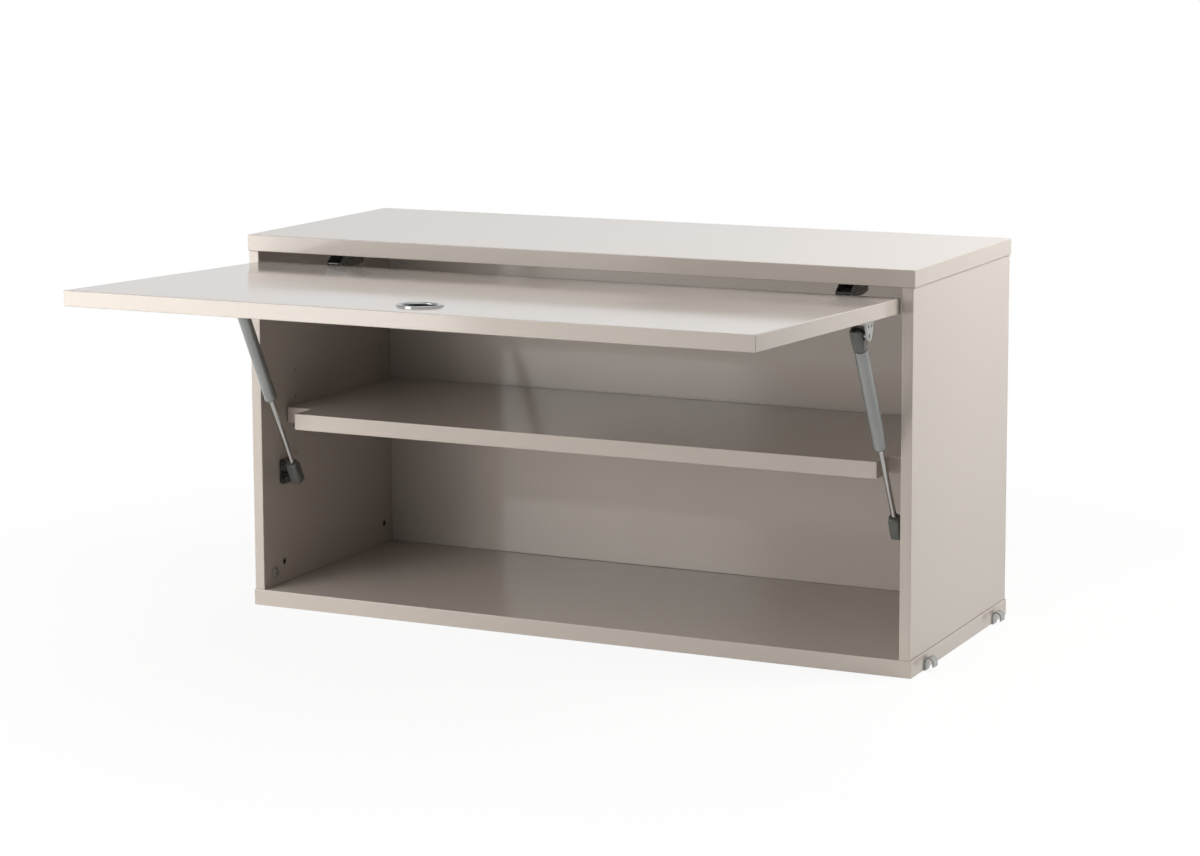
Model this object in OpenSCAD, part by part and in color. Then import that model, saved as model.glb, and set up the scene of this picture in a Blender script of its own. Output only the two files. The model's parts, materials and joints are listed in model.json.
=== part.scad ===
// Lift up wall cabinet: a lacquered carcass with one notched shelf, an inset
// door hinged under the top panel, two gas struts and four hooks that hang the
// cabinet on the rungs of a side frame. The origin is the centre of the
// underside, +X is to the right, +Y runs to the back and +Z is up.
// The cabinet is drawn with its door fully open.

/* [Carcass] */
// Overall width, over the top and bottom panels
cabinet_w = 780; // [640:10:1000]
// Overall depth
cabinet_d = 306; // [300:1:360]
// Overall height
cabinet_h = 418; // [410:1:470]
// Thickness of the top and bottom panels
board_t = 18; // [17:1:22]
// Thickness of the side panels
side_t = 12; // [11:1:18]
// Overhang of the top and bottom panels past each side panel
side_overhang = 1.5; // [0.5:0.5:4]
// Thickness of the back panel
back_t = 16; // [12:1:19]

/* [Dowels] */
// Diameter of the wooden dowels
dowel_d = 6; // [5:0.5:7]
// Length of a dowel, half of it in each panel
dowel_l = 24; // [18:1:28]
// Distance of the outer dowels from the front and back edges
dowel_inset = 40; // [30:1:50]
// Distance of the outer back panel dowels from the inner faces of the sides
back_dowel_inset = 70; // [50:5:100]

/* [Shelf] */
// Thickness of the shelf
shelf_t = 18; // [16:1:22]
// Gap between the shelf and each side panel
shelf_side_gap = 1.5; // [0.5:0.5:2.5]
// Gap between the shelf and the back panel
shelf_back_gap = 2; // [1:0.5:6]
// Gap between the shelf and the closed door
shelf_door_gap = 1.5; // [1:0.5:6]
// Width of the notch at each front corner of the shelf
notch_w = 30.5; // [29:0.5:36]
// Depth of the notch
notch_d = 35; // [33:1:45]
// Row of drilled holes that holds the shelf, counted from the lowest
shelf_row_number = 3; // [2:1:3]

/* [Shelf drilling] */
// Diameter of the shelf holes
hole_d = 5; // [4:0.5:6]
// Depth of the shelf holes
hole_depth = 8; // [6:0.5:9]
// Height of the lowest shelf hole above the underside
first_row_z = 130; // [128:0.5:132]
// Spacing of the rows
row_pitch = 32; // [30:1:33]
// Number of rows
row_count = 5; // [4:1:5]
// Distance of the front column from the front edge
front_column = 73; // [65:1:85]
// Distance of the back column from the back edge
back_column = 38; // [34:1:60]
// Diameter of the head of a shelf pin
pin_head_d = 11; // [9:1:13]
// Length of the head of a shelf pin
pin_head_l = 7; // [6:1:9]

/* [Door] */
// Thickness of the door
door_t = 16; // [15:0.5:17]
// Gap between the door and each side panel
door_side_gap = 3; // [2:0.5:4]
// Gap between the door and the top and bottom panels
door_end_gap = 3.5; // [3:0.5:4]
// Angle that the door opens to
door_open = 92; // [88:1:94]
// Turning point of the door, in front of its outer face when it is closed
turn_front = 1.4; // [1:0.1:1.8]
// Turning point of the door, below its top edge when it is closed
turn_down = 6.2; // [5.8:0.1:6.6]
// Distance of the grip ring's centre from the door's free edge
ring_up = 57; // [45:1:80]
// Outside diameter of the grip ring
ring_d = 46; // [42:1:52]
// Diameter of the finger hole
ring_bore = 35; // [30:1:36]
// Wall of the sleeve that lines the finger hole
ring_wall = 1.5; // [1:0.1:2]
// Height of the grip ring's rounded rim above the door
ring_rise = 2; // [1:0.1:2.4]

/* [Hinges] */
// Distance of the left hinge's middle from the side panel
left_hinge_in = 85; // [64:0.5:120]
// Distance of the right hinge's middle from the side panel
right_hinge_in = 70.5; // [64:0.5:120]
// Diameter of the hinge cup
cup_d = 35; // [34.4:0.1:35.4]
// Depth of the hinge cup
cup_depth = 11.5; // [11.2:0.1:12.5]
// Wall of the hinge cup
cup_wall = 1; // [0.6:0.1:1]
// Distance of the cup's centre from the door's top edge
cup_down = 22.5; // [22.3:0.1:22.7]
// Width of the cup's fixing wings
wing_w = 52; // [50:1:56]
// Height of the cup's fixing wings
wing_h = 16; // [14:1:18]
// Thickness of the cup's fixing wings
wing_t = 1.2; // [0.8:0.1:1.5]
// Spacing of the cup's two screws
cup_screw_gap = 45; // [44.5:0.5:46]
// Distance of the link pin from the front edge
link_back = 20.5; // [20.4:0.1:20.8]
// Distance of the link pin below the top panel
link_down = 12; // [11.8:0.1:12.2]
// Reach of the link forwards from its pin
link_reach = 27; // [26.8:0.1:27.2]
// Drop of the link's lowest bend below its pin
link_drop = 19; // [18.9:0.1:19.1]
// Rise of the link's tip above its lowest bend
link_tip_rise = 4.5; // [4:0.1:4.6]
// Width of the link
link_w = 10; // [8:0.5:10]
// Thickness of the link
link_t = 2.4; // [2:0.1:2.5]
// Diameter of the link pin
link_pin_d = 3; // [2.5:0.1:3]
// Outside diameter of the link's and the arm's eyes
link_eye_d = 5.6; // [5.2:0.1:5.8]
// Width of the hinge arm
arm_w = 16; // [15:0.5:20]
// Thickness of the arm's sheet
arm_sheet = 1.5; // [1:0.1:2]
// Length of the arm behind the link pin
arm_l = 50; // [48:1:60]
// Height of the arm's cheeks
arm_h = 14; // [12:0.5:15]
// Width of the mounting plate
plate_w = 34; // [32:1:44]
// Length of the mounting plate
plate_l = 38; // [32:1:40]
// Thickness of the mounting plate
plate_t = 3; // [2:0.5:3.5]

/* [Gas struts] */
// Distance of the strut's axis from the side panel
strut_in = 18.5; // [18:0.5:19.5]
// Distance of the lower ball from the front edge
low_ball_back = 42; // [41:0.5:44]
// Distance of the lower ball below the top panel
low_ball_down = 257.2; // [254:0.2:259]
// Distance of the upper ball below the door's top edge
top_ball_down = 78.6; // [77:0.2:80]
// Distance of the upper ball from the door's inner face
top_ball_off = 14.5; // [14:0.5:16]
// Outside diameter of the strut's tube
tube_d = 14; // [13:0.5:15]
// Wall of the tube
tube_wall = 1; // [0.8:0.1:1.5]
// Distance of the tube's lower end from the upper ball
tube_reach = 140; // [134:1:144]
// Diameter of the rod
rod_d = 6; // [5:0.5:7]
// Diameter of the balls
ball_d = 10; // [9:0.5:10]
// Width of the plastic ball sockets
socket_w = 14; // [13.6:0.1:15.5]
// Diameter of a socket's collar, where it meets the strut
collar_d = 12.6; // [11.5:0.1:13.5]
// Length of a socket from the ball's centre towards the strut
socket_l = 18; // [17:0.5:19]
// Length of a socket past the ball's centre
socket_tip = 7.5; // [7:0.5:8]
// Diameter of the necks of the ball studs
neck_d = 5; // [4:0.5:6]
// Thickness of the brackets
bracket_t = 2; // [1.5:0.1:2.5]

/* [Hooks and stops] */
// Width of a hook
hook_w = 12; // [10:1:16]
// Thickness of a hook's steel
hook_t = 2; // [1.5:0.1:3]
// Width of a hook's throat
hook_throat = 7; // [6.5:0.1:9]
// Height of the centre of the hook's bend above the underside
hook_bend_z = 8.5; // [8:0.5:10]
// Length of the hook's foot under the bottom panel
hook_foot = 26; // [22:1:36]
// Distance of the front hooks from the front edge
front_hook = 44; // [40:1:60]
// Distance of the back hooks from the back edge
back_hook = 44; // [40:1:60]
// Diameter of the door stops
stop_d = 10; // [9:0.5:12]
// Thickness of the door stops
stop_l = 4; // [3.5:0.5:6]
// Height of the door stops above the bottom panel
stop_up = 16; // [12:1:24]
// Height of the joint bolts above the bottom panel
bolt_up = 24; // [20:1:30]
// Diameter of the joint bolts' heads
bolt_d = 8; // [7:0.5:10]

/* [Hidden] */
$fn = 48;

// Clearances
fit = 0.05;           // radial clearance of pins, dowels and screws
side_play = 0.4;      // clearance beside the hinge link
open_gap = 0.3;       // gap at the pivot where the linkage is left open
cut = 1;              // how far a cutting shape runs past a face

// Colours
lacquer = [0.73, 0.69, 0.66];
chrome = [0.80, 0.80, 0.80];
black_steel = [0.10, 0.10, 0.10];
zinc = [0.70, 0.71, 0.70];
strut_grey = [0.55, 0.55, 0.56];
dark_plastic = [0.27, 0.28, 0.28];
beech = [0.80, 0.66, 0.47];
rubber_grey = [0.50, 0.50, 0.50];

// Planes of the carcass
front_y = -cabinet_d / 2;
rear_y = cabinet_d / 2;
side_x = cabinet_w / 2 - side_overhang - side_t;    // inner face of a side panel
ceiling_z = cabinet_h - board_t;                    // underside of the top panel
inner_back_y = rear_y - back_t;

// Door when closed
door_w = 2 * (side_x - door_side_gap);
door_top = ceiling_z - door_end_gap;
door_bottom = board_t + door_end_gap;
door_in_y = front_y + door_t;                       // inner face
turn_y = front_y - turn_front;
turn_z = door_top - turn_down;
cup_z = door_top - cup_down;
ring_z = door_bottom + ring_up;

// Link pin
pin_y = front_y + link_back;
pin_z = ceiling_z - link_down;
arm_top = ceiling_z - plate_t;
plate_y = pin_y + arm_l - plate_l - 2;
nose_l = 8;                                         // where the arm's nose meets its web

// Strut balls, closed and open
strut_x = side_x - strut_in;
low_y = front_y + low_ball_back;
low_z = ceiling_z - low_ball_down;
shut_y = door_in_y + top_ball_off;
shut_z = door_top - top_ball_down;
open_y = turn_y + (shut_y - turn_y) * cos(door_open) + (shut_z - turn_z) * sin(door_open);
open_z = turn_z - (shut_y - turn_y) * sin(door_open) + (shut_z - turn_z) * cos(door_open);
open_len = norm([open_y - low_y, open_z - low_z]);
shut_len = norm([shut_y - low_y, shut_z - low_z]);
stroke = open_len - shut_len;
lean = atan2(low_y - open_y, open_z - low_z);       // lean of the open strut from upright

// Inside a strut, measured from the upper ball
tube_top = socket_l;
head_t = 3;
gland_l = 10;
gland_lip = 0.8;
piston_l = 10;
piston_room = 6;
piston_top = tube_top + head_t + piston_room + stroke;
stud_l = 8;
collar_l = 2.5;
bore_r = tube_d / 2 - tube_wall;

// Brackets
ear_x = strut_x + socket_w / 2 + 3.75;              // inner face of the door bracket's ear
ear_r = 5.5;                                        // round end of the ear, about the ball
ear_w = 17;
spare_hole_d = 3.5;
foot_in = 20;                                       // reach of the bracket's foot from the ear
foot_w = 28;
side_plate_h = 29;
side_plate_w = 23;
side_plate_ahead = 6;                               // reach of the side plate in front of the ball
side_plate_up = 3;                                  // and its centre above the ball
side_plate_round = 6;

// Shelf
pin_z_row = first_row_z + (shelf_row_number - 1) * row_pitch;
shelf_z = pin_z_row + pin_head_d / 2;
shelf_x = side_x - shelf_side_gap;
shelf_front = door_in_y + shelf_door_gap;

// Screws
small_d = 3.5;
small_head = 6.6;
small_head_h = 1.8;
small_l = 10;

// ---------------------------------------------------------------- helpers

// Children on the right and, mirrored, on the left
module both_sides() {
    children();
    mirror([1, 0, 0]) children();
}

module left_side() {
    mirror([1, 0, 0]) children();
}

// Children drawn about x = 0, moved to the middle of a hinge
module at_right_hinge() {
    translate([side_x - right_hinge_in, 0, 0]) children();
}

module at_left_hinge() {
    translate([left_hinge_in - side_x, 0, 0]) mirror([1, 0, 0]) children();
}

module at_hinges() {
    at_left_hinge() children();
    at_right_hinge() children();
}

// Children that are drawn on the closed door, swung to the open door
module on_open_door() {
    translate([0, turn_y, turn_z])
        rotate([-door_open, 0, 0])
            translate([0, -turn_y, -turn_z])
                children();
}

// Right strut: z = 0 at the upper ball, +Z down along the strut
module on_strut() {
    translate([strut_x, open_y, open_z])
        rotate([180 + lean, 0, 0])
            children();
}

module x_rod(d, l, face = 48) {
    rotate([0, 90, 0]) cylinder(d = d, h = l, $fn = face);
}

module y_rod(d, l) {
    rotate([-90, 0, 0]) cylinder(d = d, h = l);
}

// Pan head screw with a cross recess: its head stands on z = 0
module pan_screw(d = small_d, head = small_head, head_h = small_head_h, l = small_l) {
    arm = head * 0.5;
    slot = head * 0.13;
    difference() {
        rotate_extrude()
            polygon([[0, head_h], [head * 0.28, head_h], [head * 0.44, head_h * 0.72],
                     [head * 0.5, head_h * 0.3], [head * 0.5, 0], [d / 2, 0],
                     [d / 2, d - l], [0, -l]]);
        for (turn = [0, 90])
            rotate([0, 0, turn])
                translate([-arm / 2, -slot / 2, head_h * 0.4])
                    cube([arm, slot, head_h]);
    }
}

module screw_hole(d = small_d, l = small_l) {
    translate([0, 0, -l - 0.5]) cylinder(d = d + 2 * fit, h = l + 0.5 + cut);
}

// One edge of a strip of sheet along a row of points: side is 1 or -1
function strip_edge(points, thick, side) = [
    for (i = [0 : len(points) - 1])
        let (last = len(points) - 1,
             before = points[max(i, 1)] - points[max(i, 1) - 1],
             after = points[min(i, last - 1) + 1] - points[min(i, last - 1)],
             normal_1 = [-before[1], before[0]] / norm(before),
             normal_2 = [-after[1], after[0]] / norm(after),
             mitre = (normal_1 + normal_2) / norm(normal_1 + normal_2))
        points[i] + side * thick / 2 / (mitre * normal_1) * mitre
];

// Strip of sheet that follows a row of points in the YZ plane
module yz_strip(points, thick, width) {
    far_edge = strip_edge(points, thick, -1);
    translate([-width / 2, 0, 0])
        rotate([90, 0, 90])
            linear_extrude(width)
                polygon(concat(strip_edge(points, thick, 1),
                               [for (i = [len(points) - 1 : -1 : 0]) far_edge[i]]));
}

// ---------------------------------------------------------------- dowels and holes

function dowel_rows() = [front_y + dowel_inset, (front_y + inner_back_y) / 2,
                         inner_back_y - dowel_inset];

function back_dowel_columns() =
    let (span = side_x - back_dowel_inset)
    [-span, -span / 2, 0, span / 2, span];

module all_dowels(d, l) {
    for (z = [board_t, ceiling_z]) {
        both_sides()
            for (y = dowel_rows())
                translate([side_x + side_t / 2, y, z - l / 2]) cylinder(d = d, h = l);
        for (x = back_dowel_columns())
            translate([x, rear_y - back_t / 2, z - l / 2]) cylinder(d = d, h = l);
    }
}

module dowel_holes() {
    all_dowels(dowel_d + 2 * fit, dowel_l + 1);
}

function hole_columns() = [front_y + front_column, rear_y - back_column];

function bolt_rows() = [front_y + front_hook, rear_y - back_hook + 10];

// ---------------------------------------------------------------- carcass

module top_panel() {
    color(lacquer)
        difference() {
            translate([-cabinet_w / 2, front_y, ceiling_z]) cube([cabinet_w, cabinet_d, board_t]);
            dowel_holes();
            at_plate_screws() screw_hole();
        }
}

module bottom_panel() {
    color(lacquer)
        difference() {
            translate([-cabinet_w / 2, front_y, 0]) cube([cabinet_w, cabinet_d, board_t]);
            dowel_holes();
            both_sides()
                for (y = hook_rows())
                    translate([cabinet_w / 2 - hook_foot - fit, y - hook_w / 2 - fit, -cut])
                        cube([hook_foot + fit + cut, hook_w + 2 * fit, hook_t + cut]);
            at_hook_screws() screw_hole();
        }
}

module side_panel() {
    color(lacquer)
        difference() {
            translate([side_x, front_y, board_t]) cube([side_t, cabinet_d, ceiling_z - board_t]);
            dowel_holes();
            for (y = hole_columns(), row = [0 : row_count - 1])
                translate([side_x - cut, y, first_row_z + row * row_pitch])
                    x_rod(hole_d, hole_depth + cut);
            for (y = bolt_rows())
                translate([side_x - cut, y, board_t + bolt_up])
                    x_rod(bolt_d + 2 * fit, hole_depth + cut);
            translate([side_x - cut, stop_y(), stop_z()])
                x_rod(hole_d, hole_depth + cut);
            at_side_screws() screw_hole(l = side_screw_l());
        }
}

module back_panel() {
    color(lacquer)
        difference() {
            translate([-side_x, inner_back_y, board_t])
                cube([2 * side_x, back_t, ceiling_z - board_t]);
            dowel_holes();
        }
}

module carcass_dowels() {
    color(beech) all_dowels(dowel_d, dowel_l);
}

// Bolts that draw each side panel down on the bottom panel, seen as round heads
module joint_bolts() {
    socket = bolt_d * 0.5;
    color(black_steel)
        both_sides()
            for (y = bolt_rows())
                translate([side_x + 0.5, y, board_t + bolt_up])
                    difference() {
                        x_rod(bolt_d, hole_depth - 0.5);
                        translate([-cut, 0, 0])
                            rotate([0, 90, 0]) cylinder(d = socket, h = 3 + cut, $fn = 6);
                    }
}

// ---------------------------------------------------------------- shelf

module shelf() {
    color(lacquer)
        difference() {
            translate([-shelf_x, shelf_front, shelf_z])
                cube([2 * shelf_x, inner_back_y - shelf_back_gap - shelf_front, shelf_t]);
            both_sides()
                translate([shelf_x - notch_w, shelf_front - cut, shelf_z - cut])
                    cube([notch_w + cut, notch_d + cut, shelf_t + 2 * cut]);
        }
}

module shelf_pins() {
    peg_l = hole_depth - 0.5;
    color(zinc)
        both_sides()
            for (y = hole_columns())
                translate([side_x, y, pin_z_row]) {
                    translate([-pin_head_l, 0, 0]) x_rod(pin_head_d, pin_head_l);
                    x_rod(hole_d - 2 * fit, peg_l);
                }
}

// ---------------------------------------------------------------- door

module closed_door() {
    difference() {
        translate([-door_w / 2, front_y, door_bottom])
            cube([door_w, door_t, door_top - door_bottom]);
        at_hinges()
            translate([0, door_in_y - cup_depth, cup_z])
                y_rod(cup_d + 2 * fit, cup_depth + cut);
        translate([0, front_y - cut, ring_z])
            y_rod(ring_bore + 2 * ring_wall + 2 * fit, door_t + 2 * cut);
        at_cup_screws() screw_hole();
        at_door_bracket_screws() screw_hole();
    }
}

module door_panel() {
    color(lacquer) on_open_door() closed_door();
}

// Sleeve through the door with a rounded rim on both faces
module grip_ring() {
    bore_edge = ring_bore / 2;
    rim_r = ring_rise / 2;
    sleeve_r = bore_edge + ring_wall;
    back_rim = ring_rise / 2;
    color(chrome)
        on_open_door()
            translate([0, front_y, ring_z])
                rotate([-90, 0, 0])
                    rotate_extrude($fn = 96) {
                        translate([bore_edge, -ring_rise / 2])
                            square([ring_wall, door_t + ring_rise / 2 + back_rim]);
                        translate([bore_edge + rim_r, -ring_rise])
                            square([ring_d / 2 - bore_edge - 2 * rim_r, ring_rise]);
                        translate([bore_edge + rim_r, -rim_r]) circle(r = rim_r, $fn = 32);
                        translate([ring_d / 2 - rim_r, -rim_r]) circle(r = rim_r, $fn = 32);
                        translate([bore_edge, door_t])
                            square([sleeve_r - bore_edge + 1.5, back_rim]);
                    }
}

// ---------------------------------------------------------------- hinges

module hinge_cup() {
    color(black_steel)
        on_open_door()
            translate([0, door_in_y, cup_z])
                difference() {
                    union() {
                        translate([0, -cup_depth, 0]) y_rod(cup_d, cup_depth);
                        translate([-wing_w / 2, 0, -wing_h / 2]) cube([wing_w, wing_t, wing_h]);
                    }
                    translate([0, cup_wall - cup_depth, 0])
                        y_rod(cup_d - 2 * cup_wall, cup_depth + wing_t + cut);
                    for (x = [-cup_screw_gap / 2, cup_screw_gap / 2])
                        translate([x, -cut, 0]) y_rod(small_d + 2 * fit, wing_t + 2 * cut);
                }
}

// Cup screws, drawn on the closed door with their heads facing inwards
module at_cup_screws() {
    at_hinges()
        for (x = [-cup_screw_gap / 2, cup_screw_gap / 2])
            translate([x, door_in_y + wing_t, cup_z])
                rotate([-90, 0, 0])
                    children();
}

module cup_screws() {
    color(black_steel) on_open_door() at_cup_screws() pan_screw();
}

module hinge_plate() {
    color(black_steel)
        difference() {
            translate([-plate_w / 2, plate_y, arm_top]) cube([plate_w, plate_l, plate_t]);
            for (x = concat(plate_screw_columns(), 0))
                translate([x, plate_y + plate_l / 2, arm_top - cut])
                    cylinder(d = small_d + 2 * fit, h = plate_t + 2 * cut);
        }
}

function plate_screw_columns() =
    let (x = (plate_w + arm_w) / 4)
    [-x, x];

module at_plate_screws() {
    at_hinges()
        for (x = plate_screw_columns())
            translate([x, plate_y + plate_l / 2, arm_top])
                rotate([180, 0, 0])
                    children();
}

module plate_screws() {
    color(black_steel)
        at_plate_screws() pan_screw(head = (plate_w - arm_w) / 2 - 2);
}

// Folded arm: two cheeks that carry the link pin, joined by a web under the plate
// and by a sloping nose above the pin
module hinge_arm() {
    nose_low = [pin_y - link_eye_d * 0.35, pin_z + link_eye_d * 0.35];
    nose_high = [pin_y + nose_l, arm_top];
    slope = (nose_high - nose_low) / norm(nose_high - nose_low);
    inset = [slope[1], -slope[0]] * arm_sheet / 2;
    nose = [nose_low + link_eye_d * 0.65 * slope + inset, nose_high + inset];
    tail_y = pin_y + arm_l;
    cheek = [nose_low, nose_high, [tail_y, arm_top], [tail_y, arm_top - arm_h * 0.8],
             [tail_y - arm_h, arm_top - arm_h], [pin_y + arm_h, arm_top - arm_h],
             [pin_y + link_eye_d * 0.35, pin_z - link_eye_d * 0.35]];
    color(black_steel)
        difference() {
            union() {
                for (x = [-arm_w / 2, arm_w / 2 - arm_sheet])
                    translate([x, 0, 0]) {
                        translate([0, pin_y, pin_z]) x_rod(link_eye_d, arm_sheet);
                        rotate([90, 0, 90]) linear_extrude(arm_sheet) polygon(cheek);
                    }
                translate([-arm_w / 2, nose_high[0], arm_top - arm_sheet])
                    cube([arm_w, arm_l - nose_l, arm_sheet]);
                yz_strip(nose, arm_sheet, arm_w);
            }
            translate([-arm_w / 2 - cut, pin_y, pin_z]) x_rod(link_pin_d, arm_w + 2 * cut);
            translate([0, plate_y + plate_l / 2, arm_top - arm_sheet - cut])
                cylinder(d = small_d + 2 * fit, h = arm_sheet + 2 * cut);
        }
}

// Screw that clamps each arm to its plate
module arm_screws() {
    color(zinc)
        at_hinges()
            translate([0, plate_y + plate_l / 2, arm_top - arm_sheet])
                rotate([180, 0, 0]) pan_screw(l = arm_sheet + plate_t - 0.5);
}

module link_pins() {
    color(zinc)
        at_hinges()
            translate([-arm_w / 2 - 0.3, pin_y, pin_z]) x_rod(link_pin_d, arm_w + 0.6);
}

// Cranked link: from its pin it reaches round the door's edge into the cup
module hinge_link() {
    pin = [pin_y, pin_z];
    bends = [pin,
             pin - [link_reach * 0.185, link_drop * 0.685],
             pin - [link_reach * 0.5, link_drop],
             pin - [link_reach * 0.815, link_drop],
             pin - [link_reach, link_drop - link_tip_rise]];
    inner_w = arm_w - 2 * arm_sheet - 2 * side_play;
    color(black_steel)
        difference() {
            union() {
                yz_strip(bends, link_t, link_w);
                translate([-inner_w / 2, pin_y, pin_z]) x_rod(link_eye_d, inner_w);
            }
            translate([-inner_w / 2 - cut, pin_y, pin_z])
                x_rod(link_pin_d + 2 * fit, inner_w + 2 * cut);
        }
}

// ---------------------------------------------------------------- gas struts

module strut_tube() {
    color(strut_grey)
        on_strut() {
            difference() {
                translate([0, 0, tube_top]) cylinder(d = tube_d, h = tube_reach - tube_top);
                translate([0, 0, tube_top + head_t])
                    cylinder(r = bore_r, h = tube_reach - tube_top - head_t + cut);
            }
            translate([0, 0, tube_top - stud_l]) cylinder(d = rod_d, h = stud_l);
        }
}

module strut_gland() {
    color(black_steel)
        on_strut()
            difference() {
                union() {
                    translate([0, 0, tube_reach - gland_l])
                        cylinder(r = bore_r - fit, h = gland_l);
                    translate([0, 0, tube_reach]) cylinder(r = bore_r - 0.5, h = gland_lip);
                }
                translate([0, 0, tube_reach - gland_l - cut])
                    cylinder(d = rod_d + 2 * fit, h = gland_l + gland_lip + 2 * cut);
            }
}

module strut_rod() {
    rod_top = piston_top + 2;
    rod_end = open_len - socket_l + stud_l;
    color(chrome)
        on_strut()
            translate([0, 0, rod_top]) cylinder(d = rod_d, h = rod_end - rod_top);
}

module strut_piston() {
    color(black_steel)
        on_strut()
            difference() {
                translate([0, 0, piston_top]) cylinder(r = bore_r - 2 * fit, h = piston_l);
                translate([0, 0, piston_top + 2]) cylinder(d = rod_d, h = piston_l);
            }
}

// Body of a socket, tapered towards the strut and ending in a round collar:
// z = 0 at the ball and +Z towards the strut
module socket_body() {
    wide = socket_w / 2;
    narrow = collar_d / 2 - 0.4;
    neck_z = socket_l - collar_l;
    outline = [[-wide + 1, -socket_tip], [wide - 1, -socket_tip], [wide, 1 - socket_tip],
               [wide, socket_l * 0.2], [narrow, neck_z], [-narrow, neck_z],
               [-wide, socket_l * 0.2], [-wide, 1 - socket_tip]];
    intersection() {
        translate([0, socket_w, 0])
            rotate([90, 0, 0]) linear_extrude(2 * socket_w) polygon(outline);
        translate([-socket_w, 0, 0])
            rotate([90, 0, 90]) linear_extrude(2 * socket_w) polygon(outline);
        translate([0, 0, -socket_tip]) cylinder(r = wide * 1.12, h = socket_l + socket_tip);
    }
    translate([0, 0, neck_z]) cylinder(d = collar_d, h = collar_l);
}

// Upper socket: a clip with an open top and a slot towards its bracket
module top_socket() {
    seat_r = ball_d / 2 + fit;
    slot_w = neck_d + 2.5;
    color(dark_plastic)
        on_strut()
            difference() {
                socket_body();
                sphere(r = seat_r);
                translate([0, 0, -socket_tip - cut]) cylinder(r = seat_r * 0.9, h = socket_tip + cut);
                translate([0, -slot_w / 2, -socket_tip - cut])
                    cube([socket_w, slot_w, socket_tip + cut + slot_w / 2]);
                translate([0, 0, socket_l - stud_l - 0.5])
                    cylinder(d = rod_d + 2 * fit, h = stud_l + 0.5 + cut);
            }
}

// Lower socket: closed round its ball, with a shallow eye towards its bracket
module bottom_socket() {
    color(dark_plastic)
        on_strut()
            translate([0, 0, open_len])
                mirror([0, 0, 1])
                    difference() {
                        socket_body();
                        translate([socket_w / 2 - 2, 0, 0]) x_rod(neck_d + 3, 2 + cut);
                        translate([0, 0, socket_l - stud_l - 0.5])
                            cylinder(d = rod_d + 2 * fit, h = stud_l + 0.5 + cut);
                    }
}

// ---------------------------------------------------------------- strut brackets

// Outline of the bracket's ear: its end is rounded about the ball and its slanting
// sides run into the round
module ear_outline() {
    half_w = ear_w / 2;
    spread = half_w * half_w + ear_r * ear_r;
    touch = [ear_r * (half_w * half_w - ear_r * ear_r) / spread,
             2 * ear_r * ear_r * half_w / spread];
    polygon([[0, half_w], [0, -half_w], [top_ball_off - ear_r, -half_w],
             [top_ball_off + touch[0], -touch[1]], [top_ball_off + touch[0], touch[1]],
             [top_ball_off - ear_r, half_w]]);
    translate([top_ball_off, 0]) circle(r = ear_r);
}

// Foot on the door's inner face, with the ear standing on its outer edge
module door_bracket() {
    holes = [[0, top_ball_off, neck_d], [ear_w / 4, top_ball_off / 3, spare_hole_d],
             [-ear_w / 4, top_ball_off / 3, spare_hole_d]];
    color(zinc)
        on_open_door()
            difference() {
                union() {
                    translate([ear_x, door_in_y, shut_z])
                        rotate([90, 0, 90]) linear_extrude(bracket_t) ear_outline();
                    translate([ear_x + bracket_t - foot_in, door_in_y, shut_z - foot_w / 2])
                        cube([foot_in, bracket_t, foot_w]);
                }
                for (hole = holes)
                    translate([ear_x - cut, door_in_y + hole[1], shut_z + hole[0]])
                        x_rod(hole[2] + 2 * fit, bracket_t + 2 * cut);
                at_door_bracket_screws() screw_hole();
            }
}

module at_door_bracket_screws() {
    for (z = [-1, 1])
        both_sides()
            translate([ear_x + bracket_t - foot_in / 2 - 1, door_in_y + bracket_t,
                       shut_z + z * (foot_w / 2 - ear_r)])
                rotate([-90, 0, 0])
                    children();
}

module door_bracket_screws() {
    color(zinc) on_open_door() at_door_bracket_screws() pan_screw();
}

// Ball stud riveted in the door bracket's ear
module door_ball() {
    color(zinc)
        on_open_door()
            translate([0, shut_y, shut_z]) {
                translate([strut_x, 0, 0]) sphere(d = ball_d);
                translate([strut_x, 0, 0]) x_rod(neck_d, ear_x + bracket_t + 0.6 - strut_x);
            }
}

function side_screw_l() = side_t - 3 + bracket_t;

// Plate with rounded corners
module side_bracket() {
    inner_w = side_plate_w - 2 * side_plate_round;
    inner_h = side_plate_h - 2 * side_plate_round;
    color(black_steel)
        difference() {
            translate([side_x - bracket_t, low_y - side_plate_ahead,
                       low_z + side_plate_up - side_plate_h / 2])
                rotate([90, 0, 90])
                    linear_extrude(bracket_t) {
                        translate([side_plate_round, 0]) square([inner_w, side_plate_h]);
                        translate([0, side_plate_round]) square([side_plate_w, inner_h]);
                        for (y = [0, inner_w], z = [0, inner_h])
                            translate([side_plate_round + y, side_plate_round + z])
                                circle(r = side_plate_round);
                    }
            translate([side_x - bracket_t - cut, low_y, low_z])
                x_rod(neck_d + 2 * fit, bracket_t + 2 * cut);
            at_side_screws() screw_hole(l = side_screw_l());
        }
}

module at_side_screws() {
    for (z = [-1, 1])
        translate([side_x - bracket_t, low_y - side_plate_ahead + small_head / 2 + 1,
                   low_z + side_plate_up + z * (side_plate_h / 2 - small_head / 2 - 1)])
            rotate([0, -90, 0])
                children();
}

module side_bracket_screws() {
    color(black_steel) both_sides() at_side_screws() pan_screw(l = side_screw_l());
}

// Stud of the side bracket: its collar stops just short of the lower socket
module side_stud() {
    collar_end = strut_x + socket_w / 2 + open_gap;
    color(black_steel)
        translate([0, low_y, low_z]) {
            translate([collar_end, 0, 0]) x_rod(neck_d + 2, side_x - bracket_t - collar_end);
            translate([side_x - bracket_t, 0, 0]) x_rod(neck_d, bracket_t);
        }
}

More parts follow.
